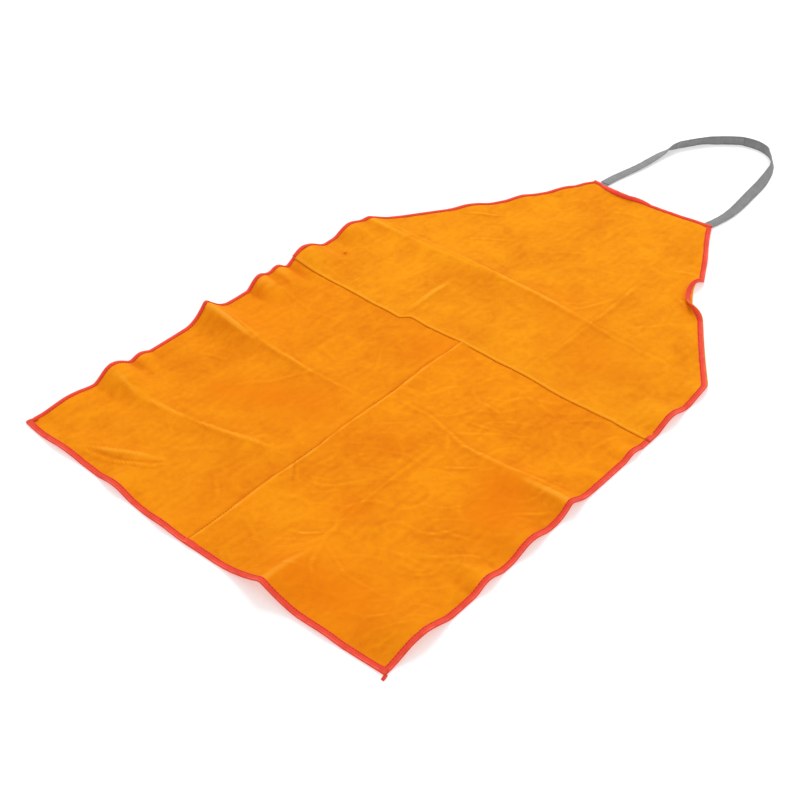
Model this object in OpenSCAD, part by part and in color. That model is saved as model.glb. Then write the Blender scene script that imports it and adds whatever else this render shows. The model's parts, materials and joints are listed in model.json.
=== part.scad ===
// Welding apron: a split-leather bib sewn to a two-piece skirt, bound with folded tape all round,
// with a loop of flat webbing for the neck. It lies face up on a flat surface, +Y towards the neck.
// The origin is the middle of its footprint, on the surface that it lies on.

/* [Leather] */
// Width across the skirt
apron_w = 600; // [440:10:760]
// Length from the hem to the top of the bib
apron_l = 920; // [740:10:1120]
// Height of the waist seam above the hem
waist_h = 465; // [380:5:520]
// Step in the waist seam where the packing fold crosses it
waist_jog = 12; // [0:1:20]
// Height of the side corners, where the armholes start
corner_h = 600; // [560:5:660]
// Width of the bib's top edge
bib_top_w = 206; // [160:2:260]
// How far the armholes curve inwards from a straight line
armhole_hollow = 11; // [0:1:25]
// How far the middle of the hem hangs below its ends
hem_bow = 10; // [0:1:25]
// How far the bib's top edge dips, left of its middle
top_dip = 12; // [0:1:15]
// Thickness of the leather
leather_t = 1.4; // [1:0.1:2.2]
// Width of the seam allowance, folded under on one side of each seam
seam_allow = 12; // [8:1:16]

/* [Binding and thread] */
// Width of each leg of the folded tape
bind_w = 6; // [4:0.5:14]
// Thickness of the tape
tape_t = 0.6; // [0.4:0.1:1.2]
// Width of a row of sewing thread
thread_w = 0.7; // [0.4:0.1:1.2]
// Height that the thread stands above what it holds
thread_h = 0.3; // [0.2:0.05:0.6]
// Length of the loose tape end at the hem's right corner
tail_l = 5; // [3:0.5:8]

/* [Neck strap] */
// Width of the webbing
strap_w = 14; // [10:1:30]
// Thickness of the webbing
strap_t = 1.2; // [0.8:0.1:2]
// Length of the webbing sewn behind the bib
strap_tab = 22; // [14:1:40]
// Distance from the bib's left corner to the strap's outer edge
left_inset = 9; // [0:1:16]
// Distance from the bib's right corner to the strap's outer edge
right_inset = 0; // [0:1:16]

/* [How it lies] */
// Height of the packing folds in the middle of a panel
fold_rise = 7; // [3:0.5:10]
// Size of the waves along the edges, as a share of full size
wave_share = 1; // [0.5:0.05:1.2]
// Gap between leathers that a seam joins
seam_gap = 0.4; // [0.3:0.05:0.6]
// Clearance between sewn layers
layer_gap = 0.05; // [0.03:0.01:0.1]

/* [Hidden] */

LEATHER = "#F2991D";
BRIGHT_LEATHER = "#F7A11F";
TAPE = "#F2503C";
WEBBING = "#959595";
ORANGE_THREAD = "#D97F12";
RED_THREAD = "#C93A2C";
GREY_THREAD = "#7C7C7C";

// spacing of the grid that the sheets are built on
grid = 20;
half_apron = apron_w / 2;
half_top = bib_top_w / 2;
// softness of the side corners, and the width that the seam's step takes
corner_soft = 4;
jog_x = -apron_w / 6 + 8;
jog_w = 16;
// the leather is lifted this much where tape lies under it, and settles over this distance
tape_lift = tape_t + layer_gap;
settle_w = 24;
// the webbing ends lie under the binding at the bib's corners
left_tab_x = left_inset + strap_w / 2 - half_top;
right_tab_x = half_top - right_inset - strap_w / 2;
corner_rise = (strap_t + thread_h + 2 * layer_gap) / 0.7;
sink = 0.1;

// ---- plan shapes ----
function lerp(a, b, t) = a + (b - a) * t;
function limit(t) = max(0, min(1, t));
function smooth(t) = let (c = limit(t)) c * c * (3 - 2 * c);
function hem_y(x) = -hem_bow * (1 - pow(x / half_apron, 2));
dip_x = -0.3 * half_top;
function top_y(x) =
  apron_l - top_dip * crest((x - dip_x) / (x < dip_x ? half_top + dip_x : half_top - dip_x));
function waist_y(x) = waist_h + waist_jog * (smooth((x - jog_x) / jog_w + 0.5) - 0.5);
function armhole_x(y) =
  let (t = (y - corner_h) / (apron_l - corner_h))
  lerp(half_apron, half_top, t) - (t > 0 ? 4 * armhole_hollow * t * (1 - t) : 0);
function half_w(y) =
  -corner_soft * ln(exp(-1) + exp(-(armhole_x(y) - half_apron + corner_soft) / corner_soft))
  + half_apron - corner_soft;
function edge_slope(y) = half_w(y - 1) - half_w(y);
function inner_w(y) = half_w(y) - bind_w * sqrt(1 + pow(edge_slope(y), 2));

// ---- how the sheet lies: a sum of low waves, each with a crest ----
function dome(t) = abs(t) >= 1 ? 0 : pow(1 - t * t, 2);
function crest(t) = abs(t) >= 1 ? 0 : pow(1 - abs(t), 2);
// a wave is its centre x and y, the turn of its crest, its half length, half width, height,
// and 1 if it is a sharp fold
function wave(w, x, y) =
  let (dx = x - w[0], dy = y - w[1],
       along = (dx * cos(w[2]) + dy * sin(w[2])) / w[3],
       across = (dy * cos(w[2]) - dx * sin(w[2])) / w[4])
  abs(along) >= 1 || abs(across) >= 1 ? 0
  : w[5] * dome(along) * (w[6] == 1 ? crest(across) : dome(across));

// waves along the sides: side, height up the apron as a share, reach, half width, height, sharp
SIDE_WAVES = [
  [-1, 0.065, 60, 40, 5, 0], [-1, 0.141, 95, 34, 15, 0], [-1, 0.188, 45, 20, 6, 0],
  [-1, 0.318, 130, 42, 26, 1], [-1, 0.425, 70, 26, 15, 0], [-1, 0.460, 60, 24, 12, 0],
  [-1, 0.522, 80, 42, 17, 0], [-1, 0.620, 70, 32, 10, 0], [-1, 0.662, 90, 28, 5, 1],
  [-1, 0.80, 50, 30, 4, 0], [-1, 0.875, 35, 26, 3, 0], [-1, 0.94, 35, 24, 3, 0],
  [1, 0.062, 85, 50, 13, 0], [1, 0.180, 70, 26, 8, 0], [1, 0.262, 75, 36, 9, 0],
  [1, 0.343, 110, 32, 12, 1], [1, 0.478, 50, 20, 5, 0], [1, 0.566, 60, 34, 9, 0],
  [1, 0.640, 50, 28, 5, 0], [1, 0.828, 50, 38, 16, 0], [1, 0.92, 40, 26, 3, 0]];
// waves along the hem: share of the width from the middle, reach, half width, height, sharp
HEM_WAVES = [
  [-0.385, 60, 44, 4, 0], [-0.215, 70, 36, 6, 0], [-0.06, 45, 34, 3, 0],
  [0.203, 130, 78, 22, 1], [0.34, 50, 40, 3, 0]];
// folds inside the panels: shares of width and length, turn, half length, half width, height share
FOLDS = [
  [-0.14, 0.668, 2, 330, 46, 1], [0.17, 0.600, 90, 90, 34, 0.5], [-0.165, 0.575, 90, 60, 26, 0.6],
  [-0.32, 0.327, -3, 130, 44, 0.8], [0.40, 0.350, 4, 150, 44, 0.7], [0.185, 0.42, 90, 90, 30, 0.4],
  [-0.35, 0.135, 3, 120, 34, 0.6], [-0.13, 0.165, 14, 90, 26, 0.5], [-0.28, 0.042, 28, 75, 22, 0.7]];
// the bib's top edge rises a little in the middle, and its corners lie on the webbing
TOP_WAVES = [
  [dip_x, apron_l - top_dip, 90, 50, 50, 5, 0],
  [left_tab_x, apron_l, 90, 80, 50, corner_rise, 0],
  [right_tab_x, apron_l, 90, 80, 50, corner_rise, 0]];
WAVES = concat(
  [for (w = SIDE_WAVES) let (y = w[1] * apron_l)
    [w[0] * half_w(y), y, 0, w[2], w[3], w[4] * wave_share, w[5]]],
  [for (w = HEM_WAVES) let (x = w[0] * apron_w)
    [x, hem_y(x), 90, w[1], w[2], w[3] * wave_share, w[4]]],
  [for (w = FOLDS)
    [w[0] * apron_w, w[1] * apron_l, w[2], w[3], w[4], w[5] * fold_rise, 1]],
  TOP_WAVES);

function edge_distance(x, y) =
  min(half_w(y) - abs(x), y - hem_y(x), abs(x) < half_top ? top_y(x) - y : apron_l - y);
function lie(x, y) =
  tape_lift * (1 - smooth((edge_distance(x, y) - bind_w - 1) / settle_w))
  + sum_waves(x, y, 0, 0);
function sum_waves(x, y, i, total) =
  i == len(WAVES) ? total : sum_waves(x, y, i + 1, total + wave(WAVES[i], x, y));

// ---- sheets: a grid of [x, y, underside, top], in rows from the hem side up ----
function spread(a, b, step) =
  let (n = max(1, ceil(abs(b - a) / step))) [for (i = [0 : n]) lerp(a, b, i / n)];
function above_hem(list) = [for (i = [1 : len(list) - 1]) list[i]];
function below_top(list) = [for (i = [0 : len(list) - 2]) list[i]];
function trim_ends(list) = [for (i = [1 : len(list) - 2]) list[i]];
function join_lines(first, middle, last) = concat(first, trim_ends(middle), last);
function point(x, y, layers) = let (z = lie(x, y)) [x, y, z, z + layers * leather_t];

// rows of a skirt panel, as shares of the way up to the waist seam
skirt_rows = join_lines([0, bind_w / waist_h],
  spread(bind_w / waist_h, 1, grid / waist_h), [1]);
function skirt_row_y(x, v) = lerp(hem_y(x), waist_y(x) - seam_gap / 2, v);
left_columns = join_lines([-half_apron, -half_apron + bind_w],
  spread(-half_apron + bind_w, -seam_gap / 2, grid), [-seam_gap / 2]);
right_columns = join_lines([seam_gap / 2, seam_allow],
  spread(seam_allow, half_apron - bind_w, grid), [half_apron - bind_w, half_apron]);
left_skirt = [for (v = skirt_rows) [for (x = left_columns) point(x, skirt_row_y(x, v), 1)]];
right_skirt = [for (v = skirt_rows) [for (x = right_columns)
  point(x, skirt_row_y(x, v), x <= seam_allow ? 2 : 1)]];

// rows of the bib, as shares of the way from the waist seam to the top edge
bib_l = apron_l - waist_h;
bib_rows = join_lines([0, seam_allow / bib_l],
  spread(seam_allow / bib_l, 1 - bind_w / bib_l, grid / bib_l), [1 - bind_w / bib_l, 1]);
bib_columns = [for (x = concat(below_top(left_columns), [0], above_hem(right_columns))) x / half_apron];
function bib_x(y, c) =
  c == -1 ? -half_w(y) : c == 1 ? half_w(y)
  : inner_w(y) * c * half_apron / (half_apron - bind_w);
function bib_row_y(x, v) = lerp(waist_y(x) + seam_gap / 2, top_y(x), v);
bib = [for (v = bib_rows) let (y = lerp(waist_h, apron_l, v))
  [for (c = bib_columns) let (x = bib_x(y, c))
    point(x, bib_row_y(x, v), v <= seam_allow / bib_l ? 2 : 1)]];

function last(list) = list[len(list) - 1];
function column(sheet, i) = [for (row = sheet) row[i]];

// A closed solid from a list of rings, each a loop of points in the same order. Each corner of
// the loop is on line 0 or line 1, and every face is cut from line `from` to the other one, so that
// what lies on a sheet bends along the same cuts as the sheet does.
module swept(rings, lines, from) {
  n = len(rings[0]);
  m = len(rings);
  polyhedron(
    points = [for (ring = rings) for (p = ring) p],
    faces = concat(
      [for (j = [0 : m - 2]) for (i = [0 : n - 1]) for (half = [0, 1])
        let (k = (i + 1) % n, a = j * n + i, b = j * n + k, c = a + n, d = b + n)
        lines[i] == from && lines[k] != from ? (half == 0 ? [a, b, d] : [a, d, c])
        : (half == 0 ? [a, b, c] : [b, d, c])],
      [for (c = [0, (m - 1) * n]) for (i = [0 : n / 2 - 2]) for (half = [0, 1])
        let (t = half == 0 ? [i, i + 1, n - 2 - i] : [i, n - 2 - i, n - 1 - i])
        [for (k = c == 0 ? [2, 1, 0] : [0, 1, 2]) c + t[k]]]));
}
TAPE_LINES = [0, 1, 1, 0, 0, 1, 1, 0];
THREAD_LINES = [0, 1, 1, 0];

// A sheet of leather from its grid
module sheet(rows) {
  n = len(rows[0]);
  m = len(rows);
  count = n * m;
  function at(j, i) = j * n + i;
  rim = concat([for (i = [0 : n - 1]) at(0, i)], [for (j = [1 : m - 1]) at(j, n - 1)],
    [for (i = [n - 2 : -1 : 0]) at(m - 1, i)], [for (j = [m - 2 : -1 : 1]) at(j, 0)]);
  rim_n = len(rim);
  polyhedron(
    points = concat([for (row = rows) for (p = row) [p[0], p[1], p[2]]],
      [for (row = rows) for (p = row) [p[0], p[1], p[3]]]),
    faces = concat(
      [for (j = [0 : m - 2]) for (i = [0 : n - 2]) [at(j, i), at(j, i + 1), at(j + 1, i + 1)]],
      [for (j = [0 : m - 2]) for (i = [0 : n - 2]) [at(j, i), at(j + 1, i + 1), at(j + 1, i)]],
      [for (j = [0 : m - 2]) for (i = [0 : n - 2])
        [count + at(j, i), count + at(j + 1, i + 1), count + at(j, i + 1)]],
      [for (j = [0 : m - 2]) for (i = [0 : n - 2])
        [count + at(j, i), count + at(j + 1, i), count + at(j + 1, i + 1)]],
      [for (k = [0 : rim_n - 1]) let (a = rim[k], b = rim[(k + 1) % rim_n])
        [a, count + b, b]],
      [for (k = [0 : rim_n - 1]) let (a = rim[k], b = rim[(k + 1) % rim_n])
        [a, count + a, count + b]]));
}

// Tape folded round an edge, where edge and inner are the two outermost lines of a sheet's grid.
// ahead is 1 where the edge lies to the right of the run of the stations, or else -1. from says
// which line the sheet's own cuts start on: 1 for the edge, 0 for the inner line.
module folded_tape(edge, inner, ahead, from) {
  near = layer_gap;
  far = layer_gap + tape_t;
  swept([for (s = [0 : len(edge) - 1])
    let (e = edge[s], i = inner[s], step = [e[0] - i[0], e[1] - i[1]], out = step / norm(step),
         rise = [e[2] - i[2], e[3] - i[3]] * near / bind_w,
         loop = [
           [i[0], i[1], i[3] + far],
           [e[0] + out[0] * far, e[1] + out[1] * far, e[3] + rise[1] + far],
           [e[0] + out[0] * far, e[1] + out[1] * far, e[2] + rise[0] - far],
           [i[0], i[1], i[2] - far],
           [i[0], i[1], i[2] - near],
           [e[0] + out[0] * near, e[1] + out[1] * near, e[2] + rise[0] - near],
           [e[0] + out[0] * near, e[1] + out[1] * near, e[3] + rise[1] + near],
           [i[0], i[1], i[3] + near]])
    ahead > 0 ? loop : [for (k = [7 : -1 : 0]) loop[k]]], TAPE_LINES, from);
}

// A row of thread on the tape, along its inner edge
module thread_on_tape(edge, inner, ahead, from) {
  low = layer_gap + tape_t - sink;
  high = layer_gap + tape_t + thread_h;
  share = thread_w / bind_w;
  swept([for (s = [0 : len(edge) - 1])
    let (a = inner[s], b = lerp(inner[s], edge[s], share),
         loop = [[a[0], a[1], a[3] + low], [b[0], b[1], b[3] + low],
                 [b[0], b[1], b[3] + high], [a[0], a[1], a[3] + high]])
    ahead > 0 ? [for (k = [3 : -1 : 0]) loop[k]] : loop], THREAD_LINES, from);
}

// A row of thread on the leather beside a seam
module thread_on_leather(line, away) {
  swept([for (p = line)
    let (a = [p[0], p[1]] + away * layer_gap, b = a + away * thread_w)
    [[a[0], a[1], p[3] - sink], [b[0], b[1], p[3] - sink],
     [b[0], b[1], p[3] + thread_h], [a[0], a[1], p[3] + thread_h]]], THREAD_LINES, 1);
}

// ---- neck strap: a flat ribbon along a route, lying flat at its ends and on edge at the top ----
// route points as offsets from the bib's top edge, with how far the webbing leans over in degrees
ROUTE = [
  [left_tab_x, 0, 0], [-84, 24, 0], [-79, 50, 2], [-74, 76, 6], [-71, 104, 9], [-68, 130, 24],
  [-64, 146, 58], [-59, 160, 74], [-48, 179, 77], [-36, 197, 76], [-23, 210, 88], [-3, 227, 90],
  [14, 237, 90], [34, 240, 90], [50, 237, 88], [63, 229, 80], [77, 214, 70], [87, 195, 68],
  [93, 173, 54], [98, 145, 36], [101, 110, 32], [104, 72, 32], [105, 45, 34], [102, 22, 12],
  [right_tab_x + 2, 8, 2], [right_tab_x, 0, 0]];
// the two lengths lap over each other between these points of the route
lap_from = 12;
lap_to = 14.75;
ring_step = 0.5;
route_start_y = apron_l + seam_gap;
function spline(a, b, c, d, t) =
  0.5 * (2 * b + (c - a) * t + (2 * a - 5 * b + 4 * c - d) * t * t
         + (3 * b - a - 3 * c + d) * t * t * t);
function route(s) =
  let (n = len(ROUTE) - 1, k = min(n - 1, floor(s)), t = s - k)
  spline(ROUTE[max(0, k - 1)], ROUTE[k], ROUTE[k + 1], ROUTE[min(n, k + 2)], t);
function route_ring(s, width, thick, shift) =
  let (p = route(s), q = route(min(len(ROUTE) - 1, s + 0.05)), o = route(max(0, s - 0.05)),
       d = [q[0] - o[0], q[1] - o[1]] / norm([q[0] - o[0], q[1] - o[1]]),
       ends = s == 0 || s == len(ROUTE) - 1,
       along = ends ? [0, s == 0 ? 1 : -1] : d,
       tilt = max(0, min(90, p[2])),
       inward = [along[1], -along[0], 0],
       w = inward * cos(tilt) + [0, 0, sin(tilt)],
       f = [0, 0, cos(tilt)] - inward * sin(tilt),
       z = thread_h + layer_gap + strap_w / 2 * sin(tilt) + strap_t / 2 * cos(tilt),
       mid = [p[0], route_start_y + p[1], z] - inward * shift * sin(tilt))
  [mid - w * width / 2 - f * thick / 2, mid + w * width / 2 - f * thick / 2,
   mid + w * width / 2 + f * thick / 2, mid - w * width / 2 + f * thick / 2];
module ribbon(from, to, width, thick, shift) {
  steps = concat([for (s = [from : ring_step : to - ring_step / 4]) s], [to]);
  rings = [for (s = steps) let (r = route_ring(s, width, thick, shift)) [r[3], r[2], r[1], r[0]]];
  swept(rings, THREAD_LINES, 1);
}
lap_shift = strap_t / 2 + layer_gap / 2;
lap_thread_shift = -(strap_t + layer_gap / 2 + thread_h / 2 - sink);
lap_tack_l = 0.2;
tack_w = strap_w - 4;
tack_l = 3;

// the whole drawing is moved so that the origin is the middle of the footprint
strap_reach = max([for (s = [0 : ring_step : len(ROUTE) - 1]) route(s)[1]])
  + strap_t + layer_gap / 2;
origin_y = (route_start_y + strap_reach - hem_bow - tape_lift) / 2;
module placed() { translate([0, -origin_y, 0]) children(); }

// ---- skirt ----
module skirt_left_panel() { color(LEATHER) placed() sheet(left_skirt); }
module skirt_right_panel() { color(LEATHER) placed() sheet(right_skirt); }
module centre_seam_thread() {
  color(ORANGE_THREAD) placed()
    thread_on_leather([for (j = [1 : len(left_skirt) - 2]) last(left_skirt[j])], [-1, 0]);
}
module waist_seam_thread() {
  line = concat(trim_ends(last(left_skirt)), [last(last(left_skirt))]);
  color(ORANGE_THREAD) placed() {
    thread_on_leather([for (i = [len(line) - 2 : -1 : 0]) line[i]], [0, -1]);
    thread_on_leather([for (i = [len(right_columns) - 2 : -1 : 1]) last(right_skirt)[i]], [0, -1]);
  }
}
hem_edge = concat(left_skirt[0], right_skirt[0]);
hem_inner = concat(left_skirt[1], right_skirt[1]);
module hem_binding() { color(TAPE) placed() folded_tape(hem_edge, hem_inner, 1, 1); }
module hem_binding_thread() {
  color(RED_THREAD) placed() thread_on_tape(trim_ends(hem_edge), trim_ends(hem_inner), 1, 1);
}
left_edge = above_hem(column(left_skirt, 0));
left_inner = above_hem(column(left_skirt, 1));
right_edge = above_hem(column(right_skirt, len(right_columns) - 1));
right_inner = above_hem(column(right_skirt, len(right_columns) - 2));
module left_side_binding() { color(TAPE) placed() folded_tape(left_edge, left_inner, -1, 1); }
module right_side_binding() { color(TAPE) placed() folded_tape(right_edge, right_inner, 1, 0); }
module left_side_binding_thread() {
  color(RED_THREAD) placed() thread_on_tape(left_edge, left_inner, -1, 1);
}
module right_side_binding_thread() {
  color(RED_THREAD) placed() thread_on_tape(right_edge, right_inner, 1, 0);
}
// the tape's last end, turned down past the corner
module binding_tail() {
  corner = last(right_skirt[0]);
  tail_y = hem_y(half_apron - bind_w / 2);
  tail_t = 2 * tape_t;
  color(TAPE) placed()
    translate([corner[0] - bind_w / 2, tail_y - tape_lift - layer_gap - tail_l, corner[2]])
      cube([bind_w / 2, tail_l, tail_t]);
}

// ---- bib ----
module bib_panel() { color(BRIGHT_LEATHER) placed() sheet(bib); }
bib_last = len(bib_columns) - 1;
bib_left_edge = below_top(column(bib, 0));
bib_left_inner = below_top(column(bib, 1));
bib_right_edge = below_top(column(bib, bib_last));
bib_right_inner = below_top(column(bib, bib_last - 1));
bib_top_edge = last(bib);
bib_top_inner = bib[len(bib) - 2];
module left_armhole_binding() {
  color(TAPE) placed() folded_tape(bib_left_edge, bib_left_inner, -1, 1);
}
module right_armhole_binding() {
  color(TAPE) placed() folded_tape(bib_right_edge, bib_right_inner, 1, 0);
}
module bib_top_binding() { color(TAPE) placed() folded_tape(bib_top_edge, bib_top_inner, -1, 0); }
module left_armhole_binding_thread() {
  color(RED_THREAD) placed() thread_on_tape(bib_left_edge, bib_left_inner, -1, 1);
}
module right_armhole_binding_thread() {
  color(RED_THREAD) placed() thread_on_tape(bib_right_edge, bib_right_inner, 1, 0);
}
module bib_top_binding_thread() {
  color(RED_THREAD) placed()
    thread_on_tape(trim_ends(bib_top_edge), trim_ends(bib_top_inner), -1, 0);
}
// the webbing's ends, sewn flat behind the bib's corners with a bar of zigzag thread
module strap_tab(x) {
  color(WEBBING) placed() translate([x - strap_w / 2, apron_l - strap_tab, thread_h + layer_gap])
    cube([strap_w, strap_tab, strap_t]);
}
module strap_bartack(x) {
  color(GREY_THREAD) placed()
    translate([x - tack_w / 2, apron_l - strap_tab + tack_l / 2, layer_gap])
      cube([tack_w, tack_l, thread_h + sink]);
}
module left_strap_tab() { strap_tab(left_tab_x); }
module right_strap_tab() { strap_tab(right_tab_x); }
module left_strap_bartack() { strap_bartack(left_tab_x); }
module right_strap_bartack() { strap_bartack(right_tab_x); }

// ---- neck strap ----
module neck_strap_left_length() {
  color(WEBBING) placed() ribbon(0, lap_to, strap_w, strap_t, lap_shift);
}
module neck_strap_right_length() {
  color(WEBBING) placed() ribbon(lap_from, len(ROUTE) - 1, strap_w, strap_t, -lap_shift);
}
module lap_bartack(from) {
  color(GREY_THREAD) placed()
    ribbon(from, from + lap_tack_l, tack_w, thread_h, lap_thread_shift);
}
module lap_left_bartack() { lap_bartack(lap_from + lap_tack_l / 2); }
module lap_right_bartack() { lap_bartack(lap_to - 1.5 * lap_tack_l); }

skirt_left_panel();
skirt_right_panel();
centre_seam_thread();
waist_seam_thread();
hem_binding();
left_side_binding();
right_side_binding();
hem_binding_thread();
left_side_binding_thread();
right_side_binding_thread();
binding_tail();
bib_panel();
left_armhole_binding();
right_armhole_binding();
bib_top_binding();
left_armhole_binding_thread();
right_armhole_binding_thread();
bib_top_binding_thread();
left_strap_tab();
right_strap_tab();
left_strap_bartack();
right_strap_bartack();
neck_strap_left_length();
neck_strap_right_length();
lap_left_bartack();
lap_right_bartack();
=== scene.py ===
"""Builds a leather welding apron lying face up on a flat surface: a bib sewn to a skirt of two
panels, folded tape sewn round every edge, and a neck strap of flat webbing."""

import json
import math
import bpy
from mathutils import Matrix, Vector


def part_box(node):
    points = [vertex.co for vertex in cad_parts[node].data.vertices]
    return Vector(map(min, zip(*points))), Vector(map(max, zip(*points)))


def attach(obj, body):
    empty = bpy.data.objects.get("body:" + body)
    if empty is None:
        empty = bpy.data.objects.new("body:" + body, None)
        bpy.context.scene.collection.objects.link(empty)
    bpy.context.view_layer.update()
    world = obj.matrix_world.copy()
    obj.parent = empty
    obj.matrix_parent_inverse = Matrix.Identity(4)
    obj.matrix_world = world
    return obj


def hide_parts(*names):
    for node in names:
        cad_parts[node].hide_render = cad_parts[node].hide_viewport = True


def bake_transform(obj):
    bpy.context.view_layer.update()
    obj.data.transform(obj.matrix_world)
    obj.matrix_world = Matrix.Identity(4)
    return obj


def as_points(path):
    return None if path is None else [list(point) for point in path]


bl_info = {
    "name": "Welding Apron",
    "version": (1, 0, 0),
    "blender": (4, 5, 0),
    "location": "View3D > Sidebar > Apron",
    "description": "Builds a leather welding apron with bound edges and a webbing neck strap",
    "category": "Object",
}

import bmesh
import bpy
import numpy as np
from bpy.props import FloatProperty, FloatVectorProperty, PointerProperty
from bpy.types import Operator, Panel, PropertyGroup
from mathutils import Matrix, Vector

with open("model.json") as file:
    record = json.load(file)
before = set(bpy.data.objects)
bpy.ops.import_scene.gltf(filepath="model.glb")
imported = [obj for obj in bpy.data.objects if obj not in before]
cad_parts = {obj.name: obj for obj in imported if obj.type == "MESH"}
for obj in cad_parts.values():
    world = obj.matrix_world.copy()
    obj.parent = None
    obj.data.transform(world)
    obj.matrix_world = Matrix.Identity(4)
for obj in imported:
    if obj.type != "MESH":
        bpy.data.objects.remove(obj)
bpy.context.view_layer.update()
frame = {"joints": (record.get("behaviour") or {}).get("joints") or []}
MM = 0.001

# ---- the cut, in millimetres
# x runs to the right of the middle and y up from the ends of the hem.


def joint_place(name):
    return next(j["pos_m"] for j in frame["joints"] if j["name"] == name)


HEM_BOW = 10.0  # how far the hem bows down in its middle
HEM_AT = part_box("skirt_right_panel")[0].y / MM + HEM_BOW  # the hem's ends in the row frame
HALF_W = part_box("skirt_right_panel")[1].x / MM
APRON_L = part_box("bib_panel")[1].y / MM - HEM_AT
WAIST = round(joint_place("bib_fold")[1] / MM - HEM_AT, 1)
WAIST_JOG, JOG_X, JOG_W = 12.0, -92.0, 16.0  # the waist seam's step: height, place, length
CORNER_Y = 600.0  # where the armholes start
CORNER_SOFT = 4.0
ARMHOLE_HOLLOW = 11.0
HALF_TOP = 103.0
TOP_DIP = 12.0  # depth and place of the dip in the neck edge
DIP_X = -0.3 * HALF_TOP
SEAM_GAP = 0.4
SEAM_OPEN = -0.7  # below 0, so that the leather's edges tuck past each other at a seam
TAPE_LIFT = 0.65  # height of the leather at a bound edge, and how far in it has settled
SETTLE_W = 24.0
FOLD_RISE = 7.0
CORNER_RISE = 2.3
EDGE_STEP = 2.5  # spacing of points along an edge
TAPE_GAP = 0.05
LEFT_TAPE = 0.85  # width of the left edges' tape, as a share of the others'
EDGE_REACH = 12.0  # how far outside an edge its tape may be
STITCH_AT = 0.84  # share of the tape's width at which its stitches run
LEFT_TAB, RIGHT_TAB = (
    sum(v.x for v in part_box(node)) / 2 / MM for node in ("left_strap_tab", "right_strap_tab"))
# distances above a seam where a bend of the leather would start and end, and where the webbing's
# ends would bend; they are passed to spot() but nothing is bent
BEND_FROM, WAIST_BEND, STRAP_BEND = 7.0, 56.5, 26.0


def smooth(t):
    t = np.clip(t, 0, 1)
    return t * t * (3 - 2 * t)


def dome(t):
    return np.where(np.abs(t) < 1, (1 - t * t) ** 2, 0)


def crest(t):
    """A ridge with a narrow round top."""
    t = np.sqrt(t * t + 0.0012)
    return np.where(t < 1, (1 - t) ** 2, 0)


def stack(*parts):
    return np.stack(parts, axis=-1)


def unit(v):
    return v / np.linalg.norm(v, axis=-1, keepdims=True)


def distances(points):
    """Distances along a line from its first point."""
    return np.concatenate([[0], np.cumsum(np.linalg.norm(np.diff(points, axis=0), axis=1))])


def bell(t):
    return np.exp(-(t**2))


def patch(x, y, at_x, at_y, radius):
    return np.exp(-((x - at_x) ** 2 + (y - at_y) ** 2) / radius**2)


def hem_y(x):
    return -HEM_BOW * (1 - (x / HALF_W) ** 2)


def top_y(x):
    reach = np.where(x < DIP_X, HALF_TOP + DIP_X, HALF_TOP - DIP_X)
    return APRON_L - TOP_DIP * crest((x - DIP_X) / reach)


def waist_y(x):
    wander = 1.2 * np.sin(x / 37) + 0.8 * np.sin(x / 17 + 1)
    return WAIST + WAIST_JOG * (smooth((x - JOG_X) / JOG_W + 0.5) - 0.5) + wander


def half_w(y):
    t = (y - CORNER_Y) / (APRON_L - CORNER_Y)
    edge = HALF_W + (HALF_TOP - HALF_W) * t
    edge = edge - np.where(t > 0, 4 * ARMHOLE_HOLLOW * t * (1 - t), 0)
    soft = np.exp(-1) + np.exp(-(edge - HALF_W + CORNER_SOFT) / CORNER_SOFT)
    return HALF_W - CORNER_SOFT - CORNER_SOFT * np.log(soft)


# ---- how it lies
# waves of the sides: side, share of the length, reach inwards, half width, height, 1 if sharp
SIDE_WAVES = (
    (-1, 0.065, 60, 40, 5, 0), (-1, 0.141, 95, 34, 15, 0), (-1, 0.188, 45, 20, 6, 0),
    (-1, 0.318, 130, 42, 26, 1), (-1, 0.425, 70, 26, 15, 0), (-1, 0.460, 60, 24, 12, 0),
    (-1, 0.522, 80, 42, 17, 0), (-1, 0.620, 70, 32, 10, 0), (-1, 0.662, 90, 28, 5, 1),
    (-1, 0.80, 50, 30, 4, 0), (-1, 0.875, 35, 26, 3, 0), (-1, 0.94, 35, 24, 3, 0),
    (1, 0.062, 85, 50, 13, 0), (1, 0.180, 70, 26, 8, 0), (1, 0.262, 75, 36, 9, 0),
    (1, 0.343, 110, 32, 12, 1), (1, 0.478, 50, 20, 5, 0), (1, 0.566, 60, 34, 9, 0),
    (1, 0.640, 50, 28, 5, 0), (1, 0.92, 40, 26, 3, 0),
)
# waves of the hem: share of the width, reach upwards, half width, height, 1 if sharp
HEM_WAVES = (
    (-0.385, 60, 44, 4, 0), (-0.215, 70, 36, 6, 0), (-0.06, 45, 34, 3, 0),
    (0.203, 130, 78, 22, 1), (0.34, 50, 40, 3, 0),
)
# broad folds: shares of the width and length, turn, half length, half width, share of FOLD_RISE
FOLDS = (
    (-0.14, 0.668, 2, 330, 46, 1), (0.17, 0.600, 90, 90, 34, 0.5),
    (-0.165, 0.575, 90, 60, 26, 0.6), (-0.32, 0.327, -3, 130, 44, 0.8),
    (0.40, 0.350, 4, 150, 44, 0.7), (0.185, 0.42, 90, 90, 30, 0.4),
    (-0.35, 0.135, 3, 120, 34, 0.6), (-0.13, 0.165, 14, 90, 26, 0.5),
    (-0.28, 0.042, 28, 75, 22, 0.7),
)
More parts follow.
